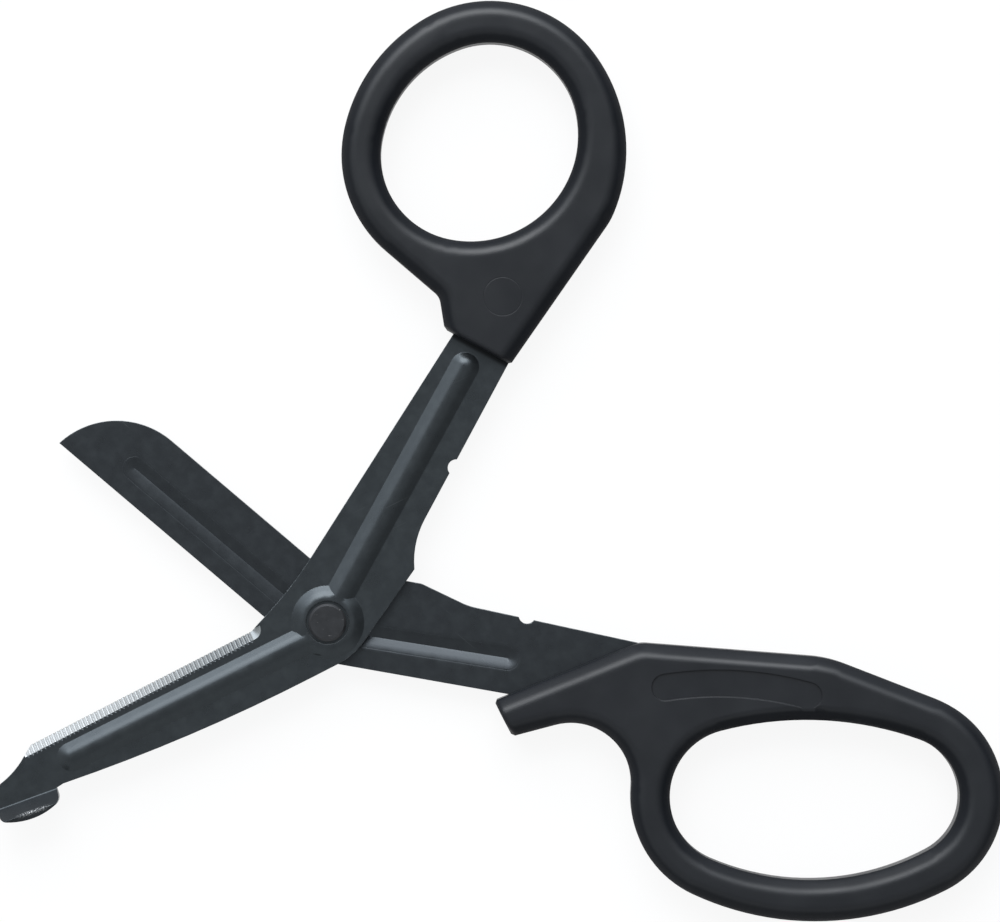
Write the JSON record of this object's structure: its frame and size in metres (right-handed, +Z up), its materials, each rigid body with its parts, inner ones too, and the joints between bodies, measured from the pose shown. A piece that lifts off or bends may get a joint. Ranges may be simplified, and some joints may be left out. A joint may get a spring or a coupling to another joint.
{
  "type": "bandage scissors",
  "caption": "Angled bandage scissors with a serrated blunt-footed lower blade, a plain upper blade, a rivet pivot and moulded thumb ring and finger loop, lying part open.",
  "frame": {"origin": "middle of the bounding box in plan, on the plane that the backs of the handles lie on", "axes": "+X towards the finger loop, +Y towards the thumb ring, +Z up out of the serrated blade's ribbed face"},
  "size_m": [0.1792, 0.1634, 0.009],
  "materials": {
    "coated_steel": "satin dark coating, bright bare steel where the edges are ground",
    "rivet_steel": "satin dark coating",
    "handle_plastic": "satin moulded black"
  },
  "bodies": {
    "finger_half": {"upper_blade": "coated_steel", "finger_handle": "handle_plastic", "pivot_rivet": "rivet_steel"},
    "thumb_half": {"lower_blade": "coated_steel", "thumb_handle": "handle_plastic"}
  },
  "joints": [
    {"name": "blade_pivot", "type": "hinge", "parent": "finger_half", "child": "thumb_half", "pos_m": [-0.03038, -0.02864, 0.0045], "axis": [0, 0, 1], "range_deg": [-58, 72]}
  ]
}
